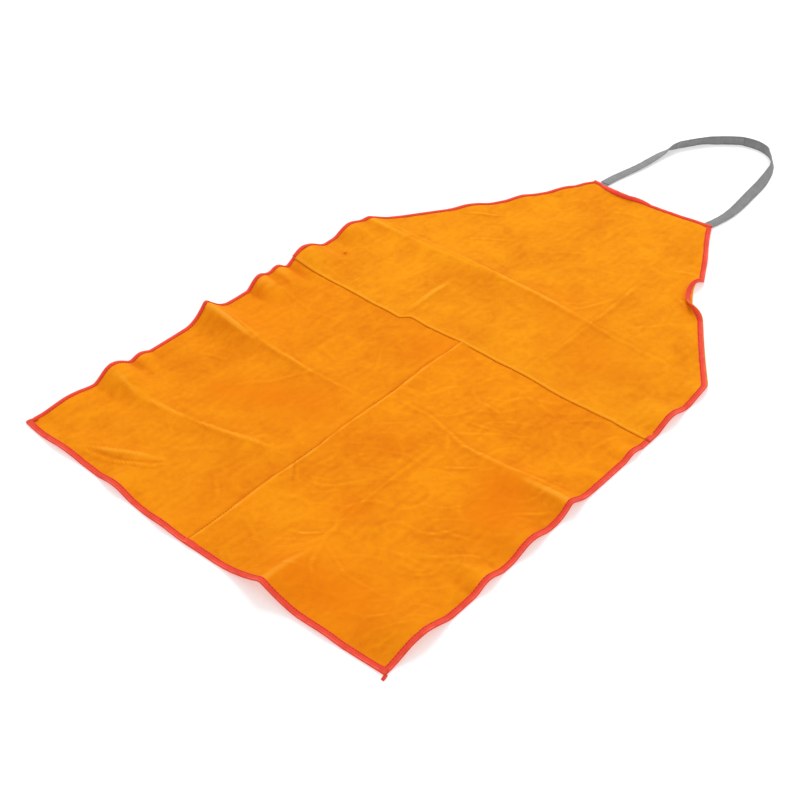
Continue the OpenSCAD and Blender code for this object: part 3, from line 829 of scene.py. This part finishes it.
class Shader:
    """A small helper for a node material."""

    def __init__(self, name):
        self.material = bpy.data.materials.new(name)
        self.material.use_nodes = True
        self.tree = self.material.node_tree
        self.bsdf = self.tree.nodes["Principled BSDF"]

    def add(self, kind, inputs=None, **settings):
        made = self.tree.nodes.new("ShaderNode" + kind)
        for key, value in settings.items():
            setattr(made, key, value)
        for key, value in (inputs or {}).items():
            self.put(made.inputs[key], value)
        return made.outputs

    def put(self, socket, value):
        if isinstance(value, bpy.types.NodeSocket):
            self.tree.links.new(value, socket)
        else:
            socket.default_value = value

    def attribute(self, name, output):
        return self.add("Attribute", attribute_name=name)[output]

    def noise(self, vector, scale, detail=2.0, rough=0.5, distort=0.0):
        return self.add("TexNoise", {"Vector": vector, "Scale": scale, "Detail": detail,
                                     "Roughness": rough, "Distortion": distort})["Fac"]

    def math(self, operation, a, b=0.0, clamp=False):
        return self.add("Math", {0: a, 1: b}, operation=operation, use_clamp=clamp)[0]

    def ramp(self, fac, low, high, to_low=0.0, to_high=1.0):
        return self.add("MapRange", {"Value": fac, "From Min": low, "From Max": high,
                                     "To Min": to_low, "To Max": to_high})["Result"]

    def mix(self, fac, a, b):
        """Mixes colours. Mix has a socket of each name for every data type, hence the indices."""
        return self.add("Mix", {0: fac, 6: a, 7: b}, data_type="RGBA")[2]

    def bump(self, height, strength, distance, normal=None):
        inputs = {"Height": height, "Strength": strength, "Distance": distance}
        if normal is not None:
            inputs["Normal"] = normal
        return self.add("Bump", inputs)["Normal"]

    def surface(self, inputs):
        """Sets or links the surface's inputs and hands back the material."""
        for key, value in inputs.items():
            self.put(self.bsdf.inputs[key], value)
        return self.material


def leather_material(name, bright, dark, deep, dirt, seed):
    """Split leather: mottled and napped, paler on its ridges, with browner painted shade in its
    creases and along its seams and painted highlights on its seams' folded edges.
    """
    n = Shader(name)
    place = n.attribute("pattern", "Vector")
    place = n.add("VectorMath", {0: place, 1: (seed, seed * 0.37, 0)}, operation="ADD")[0]
    broad = n.noise(place, 9, 3, 0.55, 0.4)
    patches = n.noise(place, 34, 4, 0.6, 0.8)
    mottle = n.noise(place, 150, 5, 0.65, 0.3)
    nap = n.noise(place, 900, 4, 0.7)
    tone = n.math("ADD", n.ramp(broad, 0.3, 0.7, -0.3, 0.3),
                  n.ramp(patches, 0.3, 0.7, -0.25, 0.25))
    tone = n.math("ADD", tone, n.ramp(mottle, 0.3, 0.7, -0.16, 0.16))
    tone = n.math("ADD", tone, n.ramp(nap, 0.25, 0.75, -0.18, 0.18))
    # paler on rubbed ridges, with painted shade in creases and seams and painted highlights on the
    # seams' folded edges
    wear_and_shading = n.attribute("wear_and_shading", "Fac")
    tone = n.math("ADD", tone, n.math("MULTIPLY", wear_and_shading, 0.75))
    tone = n.math("ADD", tone, 0.62, clamp=True)
    colour = n.mix(tone, dark, bright)
    stain_and_highlight = n.math("MULTIPLY", n.attribute("stain_and_highlight", "Fac"), n.ramp(patches, 0.3, 0.6, 0.75, 1.0),
                   clamp=True)
    colour = n.mix(stain_and_highlight, colour, deep)
    colour = n.mix(n.ramp(stain_and_highlight, 0.64, 0.8), colour, dirt)
    # pale orange on rubbed ridges and on the painted highlights of the seams' folded edges
    rubbed_and_highlight = (1.0, 0.44, 0.05, 1)
    colour = n.mix(n.ramp(wear_and_shading, 0.3, 1.0, 0.0, 0.42), colour, rubbed_and_highlight)
    pores = n.add("TexVoronoi", {"Vector": place, "Scale": 230.0}, feature="F1")["Distance"]
    normal = n.bump(patches, 0.30, 0.0025)
    normal = n.bump(mottle, 0.35, 0.0009, normal)
    normal = n.bump(pores, 0.12, 0.0005, normal)
    normal = n.bump(nap, 0.35, 0.0003, normal)
    return n.surface({
        "Base Color": colour, "Roughness": n.ramp(mottle, 0.3, 0.7, 0.78, 0.94),
        "Normal": normal, "Specular IOR Level": 0.05, "Sheen Weight": 0.05,
        "Sheen Roughness": 0.45, "Sheen Tint": (1.0, 0.55, 0.1, 1)})


def woven_material(name, colour, dark, highlight_colour, ribs, picks, strength, seed):
    """Plain woven tape or webbing: ribs along it and picks across it, uneven in colour, with
    painted light and shade and, on the tape, a painted highlight.
    """
    n = Shader(name)
    place = n.attribute("pattern", "Vector")
    parts = n.add("SeparateXYZ", {0: place})
    along = n.math("SINE", n.math("MULTIPLY", parts["X"], picks))
    across = n.math("SINE", n.math("MULTIPLY", parts["Y"], ribs))
    weave = n.math("MULTIPLY", along, across)
    cloud = n.noise(place, 60 + seed, 4, 0.6)
    fuzz = n.noise(place, 1400, 3, 0.7)
    tone = n.math("ADD", n.ramp(cloud, 0.3, 0.7, -0.3, 0.3), n.ramp(fuzz, 0.3, 0.7, -0.2, 0.2))
    tone = n.math("ADD", tone, n.math("MULTIPLY", weave, 0.16))
    # painted shade on the webbing's edges, lap and standing stretch, and on the tape's stitch line
    # and under leg
    tone = n.math("ADD", tone, n.math("MULTIPLY", n.attribute("wear_and_shading", "Fac"), 0.5))
    tone = n.math("ADD", tone, 0.6, clamp=True)
    # painted highlight where the tape turns round the edge, mixed towards highlight_colour
    painted_highlight = n.math("MULTIPLY", n.attribute("stain_and_highlight", "Fac"), n.ramp(cloud, 0.35, 0.6, 0.1, 1.0))
    normal = n.bump(weave, strength, 0.0004)
    normal = n.bump(across, strength * 0.6, 0.0003, normal)
    normal = n.bump(fuzz, 0.25, 0.0002, normal)
    return n.surface({
        "Base Color": n.mix(painted_highlight, n.mix(tone, dark, colour), highlight_colour), "Normal": normal,
        "Roughness": 0.82, "Specular IOR Level": 0.25, "Sheen Weight": 0.15,
        "Sheen Roughness": 0.4})


def thread_material(name, colour, dark):
    """Twisted thread."""
    n = Shader(name)
    place = n.add("TexCoord")["Object"]
    twist = n.add("TexWave", {"Vector": place, "Scale": 900.0, "Distortion": 1.5},
                  wave_type="BANDS", bands_direction="DIAGONAL")["Fac"]
    return n.surface({
        "Base Color": n.mix(twist, dark, colour), "Normal": n.bump(twist, 0.4, 0.0002),
        "Roughness": 0.7, "Specular IOR Level": 0.0})


def shaded(colour, share):
    return tuple(c * share for c in colour[:3]) + (1.0,)


# ---- sizes and colours


def length_setting(name, about, default, low, high):
    return FloatProperty(name=name, description=about, default=default * MM, min=low * MM,
                         max=high * MM, unit="LENGTH")


def colour_setting(name, about, *rgb):
    return FloatVectorProperty(name=name, description=about, default=(*rgb, 1), size=4,
                               subtype="COLOR")


class ApronSettings(PropertyGroup):
    leather_t: length_setting("Leather thickness", "Thickness of the split leather", 1.4, 0.8, 3)
    seam_allow: length_setting("Seam allowance", "Leather turned under at a seam", 12, 6, 20)
    tape_w: length_setting("Tape width", "Width of each leg of the folded tape", 6.3, 3, 16)
    tape_t: length_setting("Tape thickness", "Thickness of the binding tape", 0.6, 0.3, 1.5)
    thread_w: length_setting("Thread width", "Width of one stitch", 0.75, 0.3, 1.5)
    stitch_pitch: length_setting("Stitch pitch", "Distance from stitch to stitch", 4, 2, 8)
    strap_w: length_setting("Strap width", "Width of the neck strap's webbing", 14, 8, 40)
    strap_t: length_setting("Strap thickness", "Thickness of the webbing", 1.2, 0.6, 3)
    mesh_step: length_setting("Mesh step", "Spacing of the leather's mesh", 2.9, 2, 12)
    bib_colour: colour_setting("Bib leather", "Colour of the bib's leather", 0.94, 0.33, 0.006)
    skirt_colour: colour_setting("Skirt leather", "Colour of the skirt", 0.95, 0.308, 0.005)
    tape_colour: colour_setting("Tape", "Colour of the binding tape", 1.0, 0.072, 0.034)
    webbing_colour: colour_setting("Webbing", "Colour of the neck strap", 0.335, 0.335, 0.34)
    floor_colour: colour_setting("Floor", "Colour of the floor", 0.75, 0.75, 0.75)


class APRON_OT_materials(Operator):
    """Make the leather, tape, webbing and thread finishes"""

    bl_idname = "apron.materials"
    bl_label = "Finishes"

    def execute(self, context):
        s = context.scene.apron
        for name, colour, share, seed in (("bib_split", s.bib_colour, 1.0, 3.1),
                                          ("skirt_left_split", s.skirt_colour, 0.99, 7.7),
                                          ("skirt_right_split", s.skirt_colour, 1.0, 11.9)):
            dark = (colour[0] * 0.80, colour[1] * 0.62, colour[2] * 0.6, 1)
            deep = (colour[0] * 0.90, colour[1] * 0.60, colour[2] * 0.4, 1)
            dirt = (colour[0] * 0.45, colour[1] * 0.30, colour[2] * 0.6, 1)
            leather_material(name, shaded(colour, share), shaded(dark, share), deep, dirt, seed)
        # the pale pink (1.0, 0.20, 0.15) is the colour of the tape's painted highlight
        woven_material("woven_tape", tuple(s.tape_colour), shaded(s.tape_colour, 0.72),
                       (1.0, 0.20, 0.15, 1), ribs=2600.0, picks=3400.0, strength=0.25, seed=5)
        woven_material("woven_webbing", tuple(s.webbing_colour), shaded(s.webbing_colour, 0.66),
                       shaded(s.webbing_colour, 1.3), ribs=3600.0, picks=2600.0, strength=0.7,
                       seed=9)
        # the seam thread's dark brown-orange is partly thread colour and partly painted shade
        # along the seam valleys
        thread_material("orange_thread", (0.50, 0.14, 0.003, 1), (0.34, 0.085, 0.002, 1))
        thread_material("red_thread", (0.62, 0.04, 0.02, 1), (0.42, 0.025, 0.015, 1))
        thread_material("grey_thread", (0.22, 0.22, 0.23, 1), (0.13, 0.13, 0.14, 1))
        return {"FINISHED"}


def bend_at_waist(obj):
    spot(0, WAIST + BEND_FROM, 0)
    spot(0, WAIST + WAIST_BEND, 0)
    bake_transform(obj)


class APRON_OT_skirt(Operator):
    """Build the two skirt panels, the seams between them and at the waist"""

    bl_idname = "apron.skirt"
    bl_label = "Skirt"

    def execute(self, context):
        s = context.scene.apron
        panels = [build_skirt_panel(-1), build_skirt_panel(1)]
        pitch, height = s.stitch_pitch / MM, s.leather_t / MM + 0.05
        y = np.linspace(hem_y(0) + 12, WAIST - 4, 200)
        centre = stack(np.full(y.shape, -0.4), y)
        x = np.linspace(-HALF_W + 11, HALF_W - 11, 400)
        waist = stack(x, waist_y(x) - 0.5)
        rows = []
        for node, line in (("centre_seam_thread", centre), ("waist_seam_thread", waist)):
            pairs, ups = row_on(line, 0, 0, height, pitch, 0.6)
            rows.append(stitch_row(node, pairs, ups, s.thread_w, s.thread_w * 0.4,
                                   "orange_thread"))
        for obj in panels + rows:
            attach(obj, "skirt")
        return {"FINISHED"}


class APRON_OT_bib(Operator):
    """Build the bib"""

    bl_idname = "apron.bib"
    bl_label = "Bib"

    def execute(self, context):
        bend_at_waist(build_bib())
        return {"FINISHED"}


class APRON_OT_binding(Operator):
    """Build the tape folded round the edges, and its rows of stitches"""

    bl_idname = "apron.binding"
    bl_label = "Binding"

    def execute(self, context):
        for name in EDGES:
            for obj in (build_tape(name), build_tape_thread(name)):
                if name in ("left_armhole", "right_armhole"):
                    bend_at_waist(obj)
                else:
                    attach(obj, "bib" if name == "bib_top" else "skirt")
        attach(self.tail(), "skirt")
        return {"FINISHED"}

    def tail(self):
        """The loose end of the tape at the hem's right corner, a little frayed."""
        low, high = cut_box("binding_tail")
        cols = np.linspace(low[0] - 0.5, high[0] + 0.3, 9)
        rows = np.linspace(low[1] - 0.6, high[1] + 1.5, 9)
        rng = np.random.default_rng(12)
        fray = rng.uniform(-0.7, 0.5, len(cols))

        def at(i, j):
            down = (rows[j] - low[1]) / (high[1] - low[1])
            y = rows[j] + fray[i] * (j == 0)
            x = cols[i] + 0.8 * (1 - down)
            z = 1.3 + 0.9 * down + 0.15 * np.sin(cols[i] * 2.2)
            pattern = stack(y, cols[i], np.full(i.shape, 400.0))
            # the tail is darker all over
            wear_and_shading, stain_and_highlight = np.full(i.shape, -0.6), np.zeros(i.shape)
            return stack(x, y, z), pattern, wear_and_shading, stain_and_highlight

        two_layers = 1.2
        bm = mapped_grid(len(cols), len(rows), at, two_layers)
        return finished(bm, "binding_tail", "woven_tape")


class APRON_OT_neck_strap(Operator):
    """Build the webbing of the neck strap, its sewn ends and its lap"""

    bl_idname = "apron.neck_strap"
    bl_label = "Neck strap"

    def execute(self, context):
        s = context.scene.apron
        shift = s.strap_t / MM / 2 + 0.025
        for side in ("left", "right"):
            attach(build_tab(side + "_strap_tab"), "bib")
            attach(build_tab_tack(side + "_strap_bartack"), "bib")
        tacks = [build_lap_tack("lap_left_bartack", LAP_FROM + 0.1),
                 build_lap_tack("lap_right_bartack", LAP_TO - 0.3)]
        for tack in tacks:
            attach(tack, "neck_strap")
        for node, start, end, off, x in (
                ("neck_strap_left_length", 0.0, LAP_TO, shift, LEFT_TAB),
                ("neck_strap_right_length", LAP_FROM, float(LAST), -shift, RIGHT_TAB)):
            obj, path, length = build_strap_length(node, start, end, off)
            spot(x, APRON_L, 1)
            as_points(path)
            spot(0, APRON_L + SEAM_GAP, 1)
            spot(0, APRON_L + SEAM_GAP + STRAP_BEND, 1)
            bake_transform(obj)
        return {"FINISHED"}


class APRON_OT_cloth_facts(Operator):
    """Does nothing."""

    bl_idname = "apron.cloth_facts"
    bl_label = "Cloth facts"

    def execute(self, context):
        return {"FINISHED"}


# ---- stage

CAMERA_AT = (928.0, -648.0, 1139.0)
CAMERA_TO = (17.0, 334.0, 0.0)
CAMERA_ROLL = -1.31  # degrees
CAMERA_LENS = 62.6
FLOOR_SIZE = 30
FLOOR_GLOW = 0.36  # keeps the floor white round the apron's shadow
WORLD_STRENGTH = 0.72


def area_light(name, at, size, power):
    """A square lamp that looks at the middle of the row frame."""
    data = bpy.data.lights.new(name, "AREA")
    data.shape, data.size, data.energy = "SQUARE", size, power
    lamp = bpy.data.objects.new(name, data)
    lamp.location = at
    lamp.rotation_mode = "QUATERNION"
    lamp.rotation_quaternion = (-Vector(at)).to_track_quat("-Z", "Y")
    bpy.context.scene.collection.objects.link(lamp)


class APRON_OT_stage(Operator):
    """Set the camera, the floor and soft studio light"""

    bl_idname = "apron.stage"
    bl_label = "Stage"

    def execute(self, context):
        scene = context.scene
        data = bpy.data.cameras.new("camera")
        data.lens, data.sensor_width = CAMERA_LENS, 36
        camera = bpy.data.objects.new("camera", data)
        at, to = Vector(spot(*CAMERA_AT)), Vector(spot(*CAMERA_TO))
        aim = (to - at).to_track_quat("-Z", "Y").to_matrix()
        camera.matrix_world = Matrix.Translation(at) @ (
            aim @ Matrix.Rotation(math.radians(CAMERA_ROLL), 3, "Z")).to_4x4()
        scene.collection.objects.link(camera)
        scene.camera = camera

        bm = bmesh.new()
        bmesh.ops.create_grid(bm, x_segments=1, y_segments=1, size=FLOOR_SIZE)
        mesh = bpy.data.meshes.new("floor")
        bm.to_mesh(mesh)
        bm.free()
        mesh.materials.append(Shader("floor").surface({
            "Base Color": tuple(scene.apron.floor_colour), "Roughness": 0.9,
            "Specular IOR Level": 0.1, "Emission Color": (1, 1, 1, 1),
            "Emission Strength": FLOOR_GLOW}))
        floor = bpy.data.objects.new("floor", mesh)
        scene.collection.objects.link(floor)

        area_light("key", (-1.35, 1.6, 3.0), size=1.3, power=52)
        area_light("fill", (2.6, -1.4, 2.8), size=3.0, power=14)
        world = bpy.data.worlds.new("studio")
        world.use_nodes = True
        background = world.node_tree.nodes["Background"].inputs
        background["Color"].default_value = (1, 1, 1, 1)
        background["Strength"].default_value = WORLD_STRENGTH
        scene.world = world
        scene.view_settings.view_transform = "Standard"
        return {"FINISHED"}


STEPS = ("stage", "materials", "skirt", "bib", "binding", "neck_strap", "cloth_facts")


class APRON_PT_panel(Panel):
    """Lists the apron's sizes, colours and building steps"""

    bl_idname = "APRON_PT_panel"
    bl_label = "Welding apron"
    bl_space_type = "VIEW_3D"
    bl_region_type = "UI"
    bl_category = "Apron"

    def draw(self, context):
        for name in ApronSettings.__annotations__:
            self.layout.prop(context.scene.apron, name)
        for step in STEPS:
            self.layout.operator("apron." + step)


CLASSES = (ApronSettings, APRON_OT_materials, APRON_OT_skirt, APRON_OT_bib, APRON_OT_binding,
           APRON_OT_neck_strap, APRON_OT_cloth_facts, APRON_OT_stage, APRON_PT_panel)


def register():
    for cls in CLASSES:
        bpy.utils.register_class(cls)
    bpy.types.Scene.apron = PointerProperty(type=ApronSettings)


def unregister():
    del bpy.types.Scene.apron
    for cls in reversed(CLASSES):
        bpy.utils.unregister_class(cls)


def main():
    register()
    for step in STEPS:
        getattr(bpy.ops.apron, step)()


if __name__ == "__main__":
    main()
